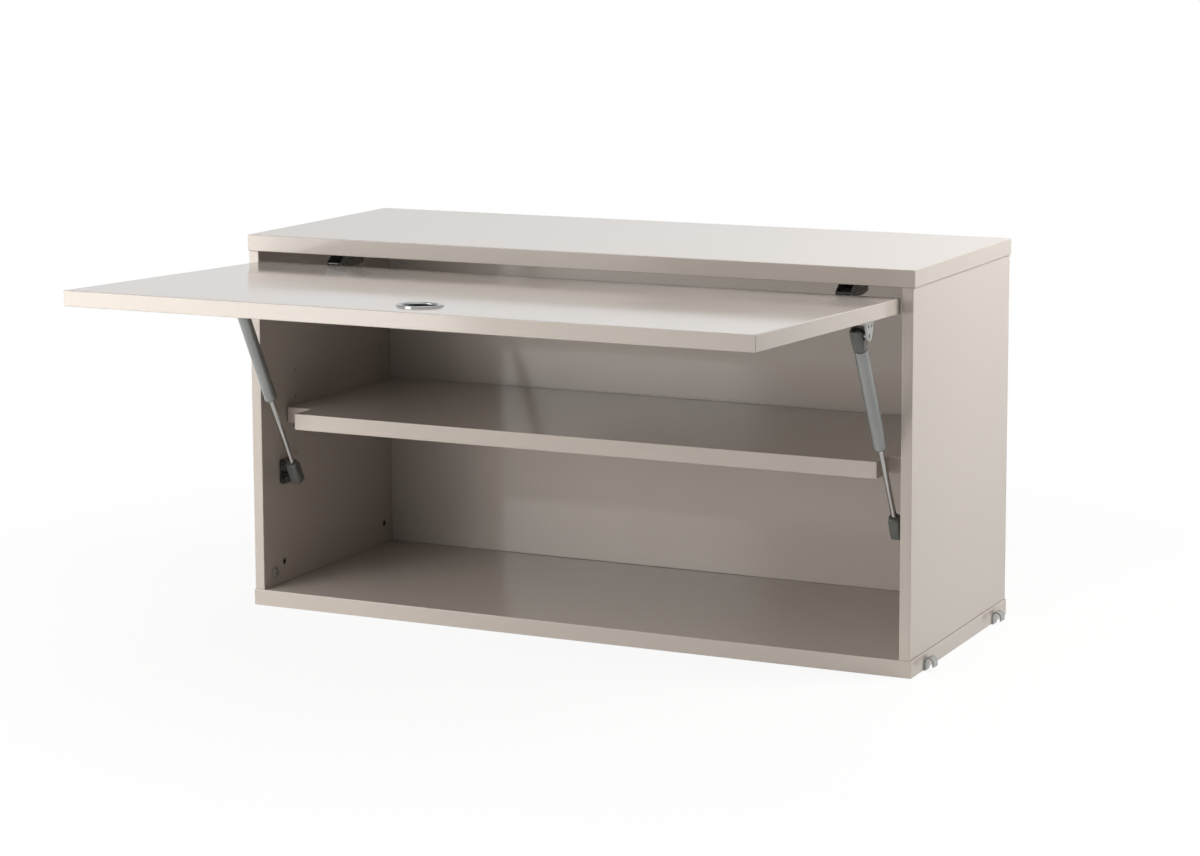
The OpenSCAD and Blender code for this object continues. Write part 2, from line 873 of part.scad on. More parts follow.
// ---------------------------------------------------------------- stops and hooks

function stop_y() = door_in_y + open_gap + stop_d / 2;
function stop_z() = board_t + stop_up;

module door_stops() {
    color(rubber_grey)
        both_sides()
            translate([side_x, stop_y(), stop_z()]) {
                translate([-stop_l, 0, 0]) x_rod(stop_d, stop_l);
                x_rod(hole_d - 2 * fit, hole_depth - 0.5);
            }
}

function hook_rows() = [front_y + front_hook, rear_y - back_hook];

// Strip bent up the panel's end, over a rung and down again
module hook(y) {
    bend_r = hook_throat / 2;
    bend_x = cabinet_w / 2 + hook_t + bend_r;
    lip_z = 4;
    color(zinc)
        difference() {
            translate([0, y + hook_w / 2, 0])
                rotate([90, 0, 0])
                    linear_extrude(hook_w) {
                        translate([cabinet_w / 2 - hook_foot, 0]) square([hook_foot + hook_t, hook_t]);
                        translate([cabinet_w / 2, 0]) square([hook_t, hook_bend_z]);
                        translate([bend_x + bend_r, lip_z]) square([hook_t, hook_bend_z - lip_z]);
                        translate([bend_x, hook_bend_z])
                            intersection() {
                                difference() {
                                    circle(r = bend_r + hook_t);
                                    circle(r = bend_r);
                                }
                                translate([-bend_r - hook_t, 0])
                                    square([2 * (bend_r + hook_t), bend_r + hook_t]);
                            }
                    }
            at_hook_screws() screw_hole();
            at_hook_screws() cylinder(d = small_head + 0.6, h = 2);
        }
}

module at_hook_screws() {
    both_sides()
        for (y = hook_rows())
            translate([cabinet_w / 2 - hook_foot * 0.55, y, 1.2])
                rotate([180, 0, 0])
                    children();
}

module hook_screws() {
    color(zinc) at_hook_screws() pan_screw(head_h = 1);
}

// ---------------------------------------------------------------- nodes

top_panel();
bottom_panel();
left_side() side_panel();  // left_side_panel
side_panel();  // right_side_panel
back_panel();
carcass_dowels();
joint_bolts();
shelf();
shelf_pins();
door_panel();
grip_ring();
at_left_hinge() hinge_cup();  // left_hinge_cup
at_right_hinge() hinge_cup();  // right_hinge_cup
cup_screws();
at_left_hinge() hinge_plate();  // left_hinge_plate
at_right_hinge() hinge_plate();  // right_hinge_plate
at_left_hinge() hinge_arm();  // left_hinge_arm
at_right_hinge() hinge_arm();  // right_hinge_arm
plate_screws();
arm_screws();
link_pins();
at_left_hinge() hinge_link();  // left_hinge_link
at_right_hinge() hinge_link();  // right_hinge_link
left_side() strut_tube();  // left_strut_tube
strut_tube();  // right_strut_tube
left_side() strut_gland();  // left_strut_gland
strut_gland();  // right_strut_gland
left_side() strut_rod();  // left_strut_rod
strut_rod();  // right_strut_rod
left_side() strut_piston();  // left_strut_piston
strut_piston();  // right_strut_piston
left_side() top_socket();  // left_top_socket
top_socket();  // right_top_socket
left_side() bottom_socket();  // left_bottom_socket
bottom_socket();  // right_bottom_socket
left_side() door_bracket();  // left_door_bracket
door_bracket();  // right_door_bracket
left_side() door_ball();  // left_door_ball
door_ball();  // right_door_ball
door_bracket_screws();
left_side() side_bracket();  // left_side_bracket
side_bracket();  // right_side_bracket
left_side() side_stud();  // left_side_stud
side_stud();  // right_side_stud
side_bracket_screws();
door_stops();
left_side() hook(hook_rows()[0]);  // front_left_hook
hook(hook_rows()[0]);  // front_right_hook
left_side() hook(hook_rows()[1]);  // back_left_hook
hook(hook_rows()[1]);  // back_right_hook
hook_screws();
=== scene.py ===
import json
import math

import bmesh
import bpy
from mathutils import Matrix, Vector

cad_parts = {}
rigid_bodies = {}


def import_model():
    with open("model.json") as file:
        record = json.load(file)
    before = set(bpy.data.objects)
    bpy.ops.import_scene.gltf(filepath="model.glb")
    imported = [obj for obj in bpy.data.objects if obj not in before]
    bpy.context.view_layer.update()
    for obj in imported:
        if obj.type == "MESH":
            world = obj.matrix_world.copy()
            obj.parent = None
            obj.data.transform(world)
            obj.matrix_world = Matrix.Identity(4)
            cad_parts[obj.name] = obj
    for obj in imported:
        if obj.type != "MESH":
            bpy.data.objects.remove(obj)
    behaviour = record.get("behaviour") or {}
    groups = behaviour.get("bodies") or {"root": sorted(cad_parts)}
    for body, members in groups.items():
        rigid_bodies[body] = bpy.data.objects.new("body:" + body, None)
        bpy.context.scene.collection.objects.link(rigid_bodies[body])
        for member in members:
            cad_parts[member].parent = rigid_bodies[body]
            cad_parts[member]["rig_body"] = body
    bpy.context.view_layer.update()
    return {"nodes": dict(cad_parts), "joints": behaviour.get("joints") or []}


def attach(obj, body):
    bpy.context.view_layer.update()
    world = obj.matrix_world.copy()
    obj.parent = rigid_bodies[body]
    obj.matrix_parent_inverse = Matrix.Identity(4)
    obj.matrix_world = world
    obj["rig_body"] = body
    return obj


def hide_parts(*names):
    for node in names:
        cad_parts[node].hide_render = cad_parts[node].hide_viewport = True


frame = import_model()

MM = 0.001
SIDES = (("left", -1), ("right", 1))
JOINTS = {joint["name"]: joint for joint in frame["joints"]}


def srgb(red, green, blue):
    """Colour as it looks on a screen, 0 to 255, turned into the linear values that shaders use."""
    values = [channel / 255 for channel in (red, green, blue)]
    linear = [v / 12.92 if v <= 0.04045 else ((v + 0.055) / 1.055) ** 2.4 for v in values]
    return (*linear, 1.0)


# ---------------------------------------------------------------- node helpers

def add(tree, kind, **settings):
    """New node with its settings."""
    node = tree.nodes.new(kind)
    for name, value in settings.items():
        setattr(node, name, value)
    return node


def wire(tree, *pairs):
    """Links, each from an output to an input."""
    for source, target in pairs:
        tree.links.new(source, target)


def feed(tree, given, socket):
    """Sets a socket to a number, or links it to the output that is given."""
    if isinstance(given, (int, float)):
        socket.default_value = given
    else:
        wire(tree, (given, socket))


def new_group(name, inputs, outputs):
    """Shader node group with named inputs and outputs, and its two end nodes."""
    group = bpy.data.node_groups.new(name, "ShaderNodeTree")
    for label, kind, value in inputs:
        socket = group.interface.new_socket(label, in_out="INPUT", socket_type=kind)
        socket.default_value = value
    for label, kind in outputs:
        group.interface.new_socket(label, in_out="OUTPUT", socket_type=kind)
    return group, add(group, "NodeGroupInput"), add(group, "NodeGroupOutput")


def calculate(tree, operation, first, second):
    """Sum, product or other result of two numbers or sockets."""
    node = add(tree, "ShaderNodeMath", operation=operation)
    feed(tree, first, node.inputs[0])
    feed(tree, second, node.inputs[1])
    return node.outputs[0]


def object_place(tree, stretch=None):
    """Object coordinates, multiplied by a vector socket where one is given."""
    place = add(tree, "ShaderNodeTexCoord").outputs["Object"]
    if stretch is None:
        return place
    stretched = add(tree, "ShaderNodeVectorMath", operation="MULTIPLY")
    wire(tree, (place, stretched.inputs[0]), (stretch, stretched.inputs[1]))
    return stretched.outputs[0]


def noise_at(tree, scale, detail, stretch=None):
    """Noise on Object coordinates, its scale taken from a socket."""
    noise = add(tree, "ShaderNodeTexNoise")
    noise.inputs["Detail"].default_value = detail
    wire(tree,
         (object_place(tree, stretch), noise.inputs["Vector"]),
         (scale, noise.inputs["Scale"]))
    return noise.outputs["Fac"]


def spread(tree, value, low, high, start=0.3, end=0.7):
    """A value from start to end, spread over low to high, which are sockets or numbers."""
    ranged = add(tree, "ShaderNodeMapRange")
    ranged.inputs["From Min"].default_value = start
    ranged.inputs["From Max"].default_value = end
    wire(tree, (value, ranged.inputs["Value"]))
    feed(tree, low, ranged.inputs["To Min"])
    feed(tree, high, ranged.inputs["To Max"])
    return ranged.outputs["Result"]


def make_cloudy_colour():
    """Slow drift of a colour between two close shades."""
    group, given, result = new_group(
        "cloudy_colour",
        [("Shade", "NodeSocketColor", (0.5, 0.5, 0.5, 1)),
         ("Other Shade", "NodeSocketColor", (0.5, 0.5, 0.5, 1)),
         ("Scale", "NodeSocketFloat", 6.0)],
        [("Color", "NodeSocketColor")])
    cloud = noise_at(group, given.outputs["Scale"], detail=3.0)
    mix = add(group, "ShaderNodeMix", data_type="RGBA")
    wire(group,
         (spread(group, cloud, 0.0, 1.0), mix.inputs[0]),
         (given.outputs["Shade"], mix.inputs[6]),
         (given.outputs["Other Shade"], mix.inputs[7]),
         (mix.outputs[2], result.inputs["Color"]))
    return group


def make_handling_marks():
    """Patches where the gloss is a little duller."""
    group, given, result = new_group(
        "handling_marks",
        [("Glossy", "NodeSocketFloat", 0.2), ("Dull", "NodeSocketFloat", 0.3),
         ("Scale", "NodeSocketFloat", 20.0)],
        [("Roughness", "NodeSocketFloat")])
    patches = noise_at(group, given.outputs["Scale"], detail=2.0)
    wire(group, (spread(group, patches, given.outputs["Glossy"], given.outputs["Dull"]),
                 result.inputs["Roughness"]))
    return group


def make_orange_peel():
    """Fine pebbling of sprayed paint or of a moulded face."""
    group, given, result = new_group(
        "orange_peel", [("Scale", "NodeSocketFloat", 700.0)], [("Height", "NodeSocketFloat")])
    wire(group, (noise_at(group, given.outputs["Scale"], detail=1.0), result.inputs["Height"]))
    return group


def make_edge_wear():
    """Mask of the worn edges, from the turn of the surface within a small distance."""
    group, given, result = new_group(
        "edge_wear",
        [("Width", "NodeSocketFloat", 0.0006), ("Patch Scale", "NodeSocketFloat", 300.0),
         ("Amount", "NodeSocketFloat", 0.6)],
        [("Mask", "NodeSocketFloat")])
    rounded = add(group, "ShaderNodeBevel", samples=4)
    surface = add(group, "ShaderNodeNewGeometry")
    turned = add(group, "ShaderNodeVectorMath", operation="DOT_PRODUCT")
    edge = spread(group, turned.outputs["Value"], 1.0, 0.0, start=0.85, end=0.99)
    patches = spread(group, noise_at(group, given.outputs["Patch Scale"], detail=3.0), 0.2, 1.0)
    limited = add(group, "ShaderNodeMath", operation="MULTIPLY", use_clamp=True)
    wire(group,
         (given.outputs["Width"], rounded.inputs["Radius"]),
         (rounded.outputs["Normal"], turned.inputs[0]),
         (surface.outputs["True Normal"], turned.inputs[1]),
         (calculate(group, "MULTIPLY", edge, patches), limited.inputs[0]),
         (given.outputs["Amount"], limited.inputs[1]),
         (limited.outputs[0], result.inputs["Mask"]))
    return group


def make_draw_lines():
    """Fine lines left by brushing, grinding or drawing, long along one axis."""
    group, given, result = new_group(
        "draw_lines",
        [("Stretch", "NodeSocketVector", (1.0, 1.0, 0.05)),
         ("Scale", "NodeSocketFloat", 900.0)],
        [("Lines", "NodeSocketFloat")])
    lines = noise_at(group, given.outputs["Scale"], detail=3.0, stretch=given.outputs["Stretch"])
    wire(group, (lines, result.inputs["Lines"]))
    return group


def make_wood_grain():
    """Growth rings stretched along the wood, as a mask from light to dark."""
    group, given, result = new_group(
        "wood_grain",
        [("Stretch", "NodeSocketVector", (1.0, 1.0, 0.08)), ("Scale", "NodeSocketFloat", 500.0)],
        [("Rings", "NodeSocketFloat")])
    wave = add(group, "ShaderNodeTexWave", bands_direction="DIAGONAL")
    wave.inputs["Distortion"].default_value = 4.0
    wave.inputs["Detail"].default_value = 3.0
    wire(group,
         (object_place(group, given.outputs["Stretch"]), wave.inputs["Vector"]),
         (given.outputs["Scale"], wave.inputs["Scale"]),
         (wave.outputs["Fac"], result.inputs["Rings"]))
    return group


CLOUDY_COLOUR = make_cloudy_colour()
HANDLING_MARKS = make_handling_marks()
ORANGE_PEEL = make_orange_peel()
EDGE_WEAR = make_edge_wear()
DRAW_LINES = make_draw_lines()
WOOD_GRAIN = make_wood_grain()


# ---------------------------------------------------------------- materials

class Finish:
    """A material with one Principled shader, dressed by the node groups above."""

    def __init__(self, name, metallic=0.0, **plain_values):
        self.material = bpy.data.materials.new(name)
        self.material.use_nodes = True
        self.tree = self.material.node_tree
        self.shader = self.tree.nodes["Principled BSDF"]
        self.shader.inputs["Metallic"].default_value = metallic
        for label, value in plain_values.items():
            self.shader.inputs[label.replace("_", " ")].default_value = value

    def place(self, group, **values):
        """Result of a node group that is given these values."""
        node = add(self.tree, "ShaderNodeGroup", node_tree=group)
        for label, value in values.items():
            node.inputs[label.replace("_", " ")].default_value = value
        return node.outputs[0]

    def colour(self, shade, other, scale):
        """Base colour that drifts between two shades."""
        drift = self.place(CLOUDY_COLOUR, Shade=shade, Other_Shade=other, Scale=scale)
        wire(self.tree, (drift, self.shader.inputs["Base Color"]))
        return drift

    def tint(self, colour, mask, shade):
        """Another shade over the base colour, where the mask is."""
        mix = add(self.tree, "ShaderNodeMix", data_type="RGBA")
        mix.inputs[7].default_value = shade
        wire(self.tree, (mask, mix.inputs[0]), (colour, mix.inputs[6]),
             (mix.outputs[2], self.shader.inputs["Base Color"]))

    def gloss(self, glossy, dull, scale):
        """Roughness that wanders between two values."""
        marks = self.place(HANDLING_MARKS, Glossy=glossy, Dull=dull, Scale=scale)
        wire(self.tree, (marks, self.shader.inputs["Roughness"]))

    def relief(self, height, strength, depth):
        """Bump from a height, its depth in metres."""
        bump = add(self.tree, "ShaderNodeBump")
        bump.inputs["Strength"].default_value = strength
        bump.inputs["Distance"].default_value = depth
        wire(self.tree, (height, bump.inputs["Height"]),
             (bump.outputs["Normal"], self.shader.inputs["Normal"]))


def grey_beige_lacquer():
    """Sprayed satin lacquer of the boards, with a faint pebbling."""
    finish = Finish("grey_beige_lacquer", Specular_IOR_Level=0.32)
    finish.colour(srgb(182, 174, 167), srgb(180, 172, 165), scale=3.0)
    finish.gloss(0.08, 0.11, scale=5.0)
    finish.relief(finish.place(ORANGE_PEEL, Scale=260.0), strength=0.03, depth=0.0002)
    return finish.material


def polish_lines(finish):
    """Hardly visible lines that polishing leaves."""
    lines = finish.place(DRAW_LINES, Stretch=(1.0, 1.0, 0.2), Scale=2500.0)
    finish.relief(lines, strength=0.04, depth=0.0001)


def polished_chrome():
    """Mirror finish of the grip ring."""
    finish = Finish("polished_chrome", metallic=1.0)
    finish.colour(srgb(152, 153, 152), srgb(140, 141, 141), scale=40.0)
    finish.gloss(0.06, 0.12, scale=90.0)
    polish_lines(finish)
    return finish.material


def dark_rod():
    """Hard-treated rod of a gas strut: smooth metal that mirrors what is round it."""
    finish = Finish("dark_rod", metallic=1.0)
    finish.colour(srgb(174, 172, 168), srgb(160, 158, 155), scale=60.0)
    finish.gloss(0.05, 0.08, scale=120.0)
    polish_lines(finish)
    return finish.material


def black_steel():
    """Sheet steel with a black coat, bare where its edges are worn."""
    finish = Finish("black_steel", Coat_Weight=0.5, Coat_Roughness=0.15)
    base = finish.colour(srgb(26, 26, 26), srgb(18, 18, 19), scale=60.0)
    wear = finish.place(EDGE_WEAR, Width=0.0005, Patch_Scale=260.0, Amount=0.5)
    finish.tint(base, wear, srgb(92, 92, 92))
    finish.gloss(0.22, 0.34, scale=120.0)
    finish.relief(finish.place(ORANGE_PEEL, Scale=1400.0), strength=0.12, depth=0.0002)
    return finish.material


def zinc_plate():
    """Bright zinc plate on drawn or pressed steel."""
    finish = Finish("zinc_plate", metallic=0.7)
    base = finish.colour(srgb(164, 166, 163), srgb(148, 150, 148), scale=110.0)
    wear = finish.place(EDGE_WEAR, Width=0.0003, Patch_Scale=300.0, Amount=0.5)
    finish.tint(base, wear, srgb(196, 197, 195))
    finish.gloss(0.2, 0.3, scale=160.0)
    lines = finish.place(DRAW_LINES, Stretch=(0.15, 1.0, 1.0), Scale=1500.0)
    finish.relief(lines, strength=0.06, depth=0.0002)
    return finish.material


def strut_grey():
    """Metallic grey paint of the strut tubes."""
    finish = Finish("strut_grey", metallic=0.45)
    base = finish.colour(srgb(138, 141, 140), srgb(130, 133, 132), scale=30.0)
    wear = finish.place(EDGE_WEAR, Width=0.0005, Patch_Scale=220.0, Amount=0.5)
    finish.tint(base, wear, srgb(200, 200, 200))
    finish.gloss(0.14, 0.2, scale=80.0)
    finish.relief(finish.place(ORANGE_PEEL, Scale=900.0), strength=0.03, depth=0.0002)
    return finish.material


def moulded_plastic(name, shade, other):
    """Moulded plastic or rubber with a fine grain."""
    finish = Finish(name)
    base = finish.colour(shade, other, scale=70.0)
    wear = finish.place(EDGE_WEAR, Width=0.0007, Patch_Scale=180.0, Amount=0.35)
    finish.tint(base, wear, srgb(116, 118, 117))
    finish.gloss(0.38, 0.5, scale=90.0)
    finish.relief(finish.place(ORANGE_PEEL, Scale=1600.0), strength=0.2, depth=0.0002)
    return finish.material


def beech_wood():
    """Bare turned beech of the dowels."""
    finish = Finish("beech_wood")
    base = finish.colour(srgb(216, 178, 132), srgb(206, 166, 120), scale=60.0)
    rings = finish.place(WOOD_GRAIN, Stretch=(1.0, 1.0, 0.08), Scale=420.0)
    finish.tint(base, rings, srgb(190, 148, 102))
    finish.gloss(0.55, 0.7, scale=200.0)
    finish.relief(rings, strength=0.2, depth=0.0003)
    return finish.material


LACQUER = grey_beige_lacquer()
CHROME = polished_chrome()
DARK_ROD = dark_rod()
BLACK_STEEL = black_steel()
ZINC = zinc_plate()
STRUT_GREY = strut_grey()
DARK_PLASTIC = moulded_plastic("dark_plastic", srgb(84, 86, 83), srgb(75, 77, 75))
BLACK_PLASTIC = moulded_plastic("black_plastic", srgb(34, 34, 35), srgb(26, 26, 27))
STOP_RUBBER = moulded_plastic("stop_rubber", srgb(140, 142, 134), srgb(130, 132, 124))
BEECH = beech_wood()


# ---------------------------------------------------------------- mesh helpers

MERGE_REACH = 0.001 * MM
FLAT_ANGLE = 0.5


def new_object(name, mesh):
    item = bpy.data.objects.new(name, mesh)
    bpy.context.scene.collection.objects.link(item)
    return item


def mesh_from(name, shape):
    """Plain mesh from a bmesh, its faces turned outwards."""
    bmesh.ops.recalc_face_normals(shape, faces=shape.faces)
    mesh = bpy.data.meshes.new(name)
    shape.to_mesh(mesh)
    shape.free()
    return mesh


def settle(item):
    """Modifiers turned into plain mesh, in place."""
    graph = bpy.context.evaluated_depsgraph_get()
    solid = bpy.data.meshes.new_from_object(item.evaluated_get(graph))
    item.modifiers.clear()
    item.data = solid
    return item


def merged(node):
    """bmesh of a CAD node, its loose triangles joined."""
    shape = bmesh.new()
    shape.from_mesh(frame["nodes"][node].data)
    bmesh.ops.remove_doubles(shape, verts=shape.verts, dist=MERGE_REACH)
    return shape


def merged_flat(node):
    """bmesh of a CAD node, its flat faces made whole."""
    shape = merged(node)
    bmesh.ops.dissolve_limit(shape, angle_limit=math.radians(FLAT_ANGLE), verts=shape.verts,
                             edges=shape.edges)
    return shape


def box_of(places):
    """Lowest and highest corner of the upright box round some points."""
    low = Vector(min(place[axis] for place in places) for axis in range(3))
    high = Vector(max(place[axis] for place in places) for axis in range(3))
    return low, high


def solids_of(node):
    """The separate solids of a CAD node, each as the list of its corners."""
    shape = merged(node)
    waiting = set(shape.verts)
    solids = []
    while waiting:
        todo = [waiting.pop()]
        corners = []
        while todo:
            corner = todo.pop()
            corners.append(corner.co.copy())
            for edge in corner.link_edges:
                other = edge.other_vert(corner)
                if other in waiting:
                    waiting.remove(other)
                    todo.append(other)
        solids.append(corners)
    shape.free()
    return solids


def shade(item, angle=35):
    """Smooth shading, with sharp edges where faces meet at more than the angle."""
    mesh = item.data
    mesh.shade_smooth()
    mesh.set_sharp_from_angle(angle=math.radians(angle))
    weighted = item.modifiers.new("weighted", "WEIGHTED_NORMAL")
    weighted.keep_sharp = True
    return settle(item)


def dress(item, body, material, slot, *nodes):
    """Gives a finished piece its material and its body, and hides the CAD nodes it stands for. The slot
    is not used.
    """
    item.data.materials.clear()
    item.data.materials.append(material)
    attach(item, body)
    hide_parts(*nodes)
    return item


def body_of(node):
    return frame["nodes"][node]["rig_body"]


# ---------------------------------------------------------------- lacquered boards

BOARD_ROUND = 0.9 * MM
ROUND_STEPS = 3
EDGE_ANGLE = 40
SKIN_MISS = 0.05 * MM
SAME_WAY = 0.8


def rounded_box(name, low, high, rounding):
    """Box between two corners, all its edges rounded."""
    shape = bmesh.new()
    bmesh.ops.create_cube(shape, size=1.0)
    centre, size = (low + high) / 2, high - low
    for corner in shape.verts:
        corner.co = Vector(c * s for c, s in zip(corner.co, size)) + centre
    bmesh.ops.bevel(shape, geom=shape.edges[:], offset=rounding, segments=ROUND_STEPS,
                    profile=0.5, affect="EDGES", clamp_overlap=False)
    return new_object(name, mesh_from(name, shape))


def door_shut():
    """Matrix that turns the open door, as it is built, until it is shut and stands upright."""
    lift = JOINTS["door_lift"]
    pivot = Matrix.Translation(lift["pos_m"])
    turn = Matrix.Rotation(math.radians(lift["range_deg"][1]), 4, Vector(lift["axis"]))
    return pivot @ turn @ pivot.inverted()


def true_normals(item, low, high, upright):
    """Exact normals on the outside of a board, where its cut faces would tilt them."""
    mesh, back = item.data, upright.inverted().to_3x3()
    inset = Vector((BOARD_ROUND, BOARD_ROUND, BOARD_ROUND))
    normals = [corner.vector.copy() for corner in mesh.corner_normals]
    for face in mesh.polygons:
        for loop in face.loop_indices:
            place = upright @ mesh.vertices[mesh.loops[loop].vertex_index].co
            core = Vector(min(max(p, a), b) for p, a, b in zip(place, low + inset, high - inset))
            out = place - core
            outward = (back @ out).normalized()
            on_skin = abs(out.length - BOARD_ROUND) < SKIN_MISS
            if on_skin and outward.dot(face.normal) > SAME_WAY:
                normals[loop] = outward
    mesh.normals_split_custom_set(normals)


def board(node, upright=Matrix.Identity(4)):
    """Board with rounded edges: a rounded box cut to the CAD node's holes."""
    shape = merged(node)
    bmesh.ops.transform(shape, matrix=upright, verts=shape.verts)
    low, high = box_of([corner.co for corner in shape.verts])
    drilled = new_object("drilled", mesh_from("drilled", shape))
    item = rounded_box(node.replace("_panel", "_board"), low, high, BOARD_ROUND)
    cutter = item.modifiers.new("holes", "BOOLEAN")
    cutter.operation = "INTERSECT"
    cutter.solver = "EXACT"
    cutter.object = drilled
    settle(item)
    bpy.data.objects.remove(drilled)
    item.data.transform(upright.inverted())
    shade(item)
    true_normals(item, low, high, upright)
    return dress(item, body_of(node), LACQUER, "lacquer", node)


def bevelled(node, name, width, steps=2):
    """Copy of a CAD node with its edges rounded off."""
    item = new_object(name, mesh_from(name, merged_flat(node)))
    bevel = item.modifiers.new("edges", "BEVEL")
    bevel.width = width
    bevel.segments = steps
    bevel.limit_method = "ANGLE"
    bevel.angle_limit = math.radians(EDGE_ANGLE)
    settle(item)
    return shade(item)


def make_boards():
    for node in ("top_panel", "bottom_panel", "left_side_panel", "right_side_panel", "back_panel"):
        board(node)
    board("door_panel", door_shut())
    shelf = bevelled("shelf", "shelf_board", BOARD_ROUND, ROUND_STEPS)
    dress(shelf, "root", LACQUER, "lacquer", "shelf")


# ---------------------------------------------------------------- turned pieces

TUBE_STEPS = 64
ROD_STEPS = 48
RING_STEPS = 96


def turned(name, profile, centre, axis, steps, closed=False):
    """Body of revolution: (distance along the axis, radius) pairs. A closed profile is hollow."""
    shape = bmesh.new()
    frame_of_axis = axis.to_track_quat("Z", "Y").to_matrix()
    rings = []
    for along, radius in profile:
        if radius == 0:
            rings.append([shape.verts.new(centre + axis * along)])
            continue
        ring = []
        for step in range(steps):
            angle = 2 * math.pi * step / steps
            spoke = Vector((radius * math.cos(angle), radius * math.sin(angle), along))
            ring.append(shape.verts.new(centre + frame_of_axis @ spoke))
        rings.append(ring)
    pairs = list(zip(rings, rings[1:]))
    if closed:
        pairs.append((rings[-1], rings[0]))
    for here, there in pairs:
        for step in range(steps):
            after = (step + 1) % steps
            corners = [here[step % len(here)], here[after % len(here)],
                       there[after % len(there)], there[step % len(there)]]
            whole = list(dict.fromkeys(corners))
            if len(whole) > 2:
                shape.faces.new(whole)
    return shade(new_object(name, mesh_from(name, shape)), angle=EDGE_ANGLE)


def strut_line(side):
    """Upper ball's centre and the direction down the strut, for one side."""
    ball = Vector(JOINTS[side + "_strut_swing"]["pos_m"])
    return ball, -Vector(JOINTS[side + "_rod_slide"]["axis"]).normalized()


def reach(node, centre, axis):
    """Lowest and highest distance of a CAD node along an axis."""
    along = [(corner.co - centre).dot(axis) for corner in frame["nodes"][node].data.vertices]
    return min(along), max(along)


def widest(node, centre, axis):
    """Largest distance of a CAD node from an axis."""
    return max((corner.co - centre).cross(axis).length
               for corner in frame["nodes"][node].data.vertices)


def make_strut_tube(side):
    """Tube with a stud in the upper socket, a round shoulder, a rolled groove and an open end."""
    node = side + "_strut_tube"
    ball, down = strut_line(side)
    start, end = reach(node, ball, down)
    head = reach(side + "_top_socket", ball, down)[1]
    radius = widest(node, ball, down)
    gland_top = reach(side + "_strut_gland", ball, down)[0]
    wall, stud, floor_t, chamfer = 1.0 * MM, 3.0 * MM, 3.0 * MM, 0.3 * MM
    bore = radius - wall
    groove = gland_top + 4.0 * MM
    shoulder = [(head + along * MM, radius - inset * MM)
                for along, inset in ((0, 1.2), (0.35, 0.4), (1.2, 0))]
    rolled = [(groove + along * MM, radius - inset * MM)
              for along, inset in ((-1.6, 0), (-0.9, 0.25), (0, 0.35), (0.9, 0.25), (1.6, 0))]
    lip = [(end - along * MM, radius - inset * MM)
           for along, inset in ((1.4, 0), (0.6, 0.2), (0.1, 0.6), (0, 0.85))]
    profile = [(start, 0), (start, stud - chamfer), (start + chamfer, stud), (head, stud),
               *shoulder, *rolled, *lip,
               (end, bore), (head + floor_t, bore), (head + floor_t, 0)]
    item = turned(node + "_body", profile, ball, down, TUBE_STEPS)
    dress(item, body_of(node), STRUT_GREY, "strut_grey", node)


def make_strut_rod(side):
    """Rod with chamfered ends and a shallow turned groove above the lower socket."""
    node = side + "_strut_rod"
    ball, down = strut_line(side)
    start, end = reach(node, ball, down)
    radius = widest(node, ball, down)
    collar = reach(side + "_bottom_socket", ball, down)[0]
    chamfer = 0.5 * MM
    groove_start, groove_end = collar - 2.2 * MM, collar - 1.0 * MM
    flank, neck = 0.2 * MM, radius - 0.35 * MM
    profile = [(start, 0), (start, radius - chamfer), (start + chamfer, radius),
               (groove_start, radius), (groove_start + flank, neck),
               (groove_end - flank, neck), (groove_end, radius),
               (end - chamfer, radius), (end, radius - chamfer), (end, 0)]
    item = turned(node + "_bar", profile, ball, down, ROD_STEPS)
    dress(item, body_of(node), DARK_ROD, "chrome", node)


def make_grip_ring():
    """Polished ring: a raised rim with a soft crown, and a sleeve through the door."""
    upright = door_shut()
    corners = [upright @ corner.co for corner in frame["nodes"]["grip_ring"].data.vertices]
    low, high = box_of(corners)
    centre = (low + high) / 2
    outer = (high.x - low.x) / 2
    bore = min(math.hypot(c.x - centre.x, c.z - centre.z) for c in corners)
    door = [(upright @ corner.co).y for corner in frame["nodes"]["door_panel"].data.vertices]
    door_low, door_high = min(door), max(door)
    rise = door_low - low.y
    back = high.y - door_high
    sleeve_t, flare, chamfer = 1.5 * MM, 1.5 * MM, 0.3 * MM
    sleeve = bore + sleeve_t
    width = outer - bore
    crown = [(0.0, 0.0), (0.03, 0.45), (0.1, 0.78), (0.2, 0.95), (0.34, 1.0), (0.52, 0.97),
             (0.7, 0.86), (0.86, 0.66), (0.96, 0.36), (1.0, 0.0)]
    profile = [(-rise * height, outer - width * across) for across, height in crown]
    depth = door_high - door_low
    profile += [(depth + back * 0.7, bore), (depth + back, bore + chamfer),
                (depth + back, sleeve + flare - chamfer), (depth + back * 0.4, sleeve + flare),
                (depth, sleeve + flare), (depth, sleeve), (0.0, sleeve)]
    start = Vector((centre.x, door_low, centre.z))
    item = turned("grip_ring_polished", profile, start, Vector((0, 1, 0)), RING_STEPS,
                  closed=True)
    item.data.transform(upright.inverted())
    dress(item, "door", CHROME, "chrome", "grip_ring")


# ---------------------------------------------------------------- moulded sockets

SOCKET_VOXEL = 0.4 * MM
SOCKET_SMOOTHING = 14


def moulded(node, name):
    """Copy of a CAD node as a moulding, with soft edges."""
    item = new_object(name, mesh_from(name, merged(node)))
    remesh = item.modifiers.new("skin", "REMESH")
    remesh.mode = "VOXEL"
    remesh.voxel_size = SOCKET_VOXEL
    soften = item.modifiers.new("soft_edges", "SMOOTH")
    soften.factor = 0.5
    soften.iterations = SOCKET_SMOOTHING
    settle(item)
    item.data.shade_smooth()
    return item


